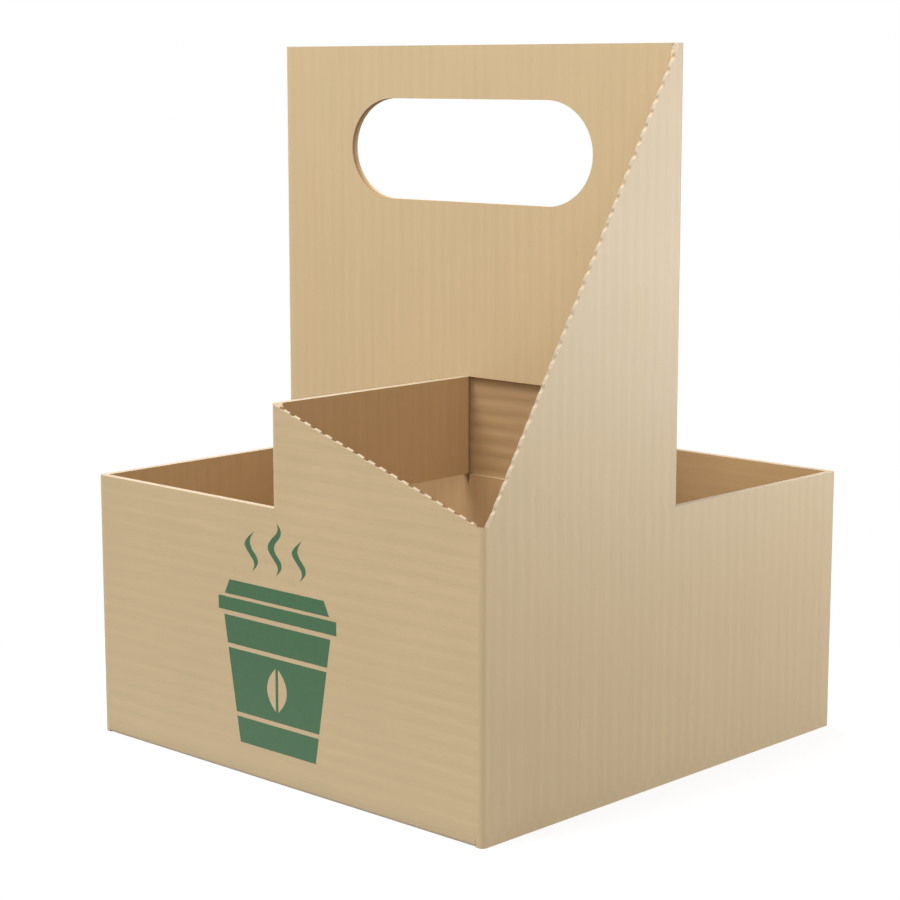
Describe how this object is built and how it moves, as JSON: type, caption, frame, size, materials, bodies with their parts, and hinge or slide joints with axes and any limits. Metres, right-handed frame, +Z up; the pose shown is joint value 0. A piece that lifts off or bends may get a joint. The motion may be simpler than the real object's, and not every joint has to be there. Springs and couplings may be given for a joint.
{
  "type": "cardboard_cup_carrier",
  "caption": "Carrier for take-away cups, folded from one sheet of brown corrugated board, with crossed dividers and an upright centre panel that has a long round-ended hand hole.",
  "frame": {"origin": "Centre of the footprint, on the surface that the carrier stands on.", "axes": "+Z up along the height, the carrier's longest extent. -Y is the wall whose right half is raised, and the centre panel with the hand hole lies in the XZ plane."},
  "size_m": [0.2, 0.2, 0.2625],
  "materials": {
    "board": "matte brown kraft paper over corrugated board"
  },
  "bodies": {
    "root": {"carrier": "board"}
  },
  "joints": []
}
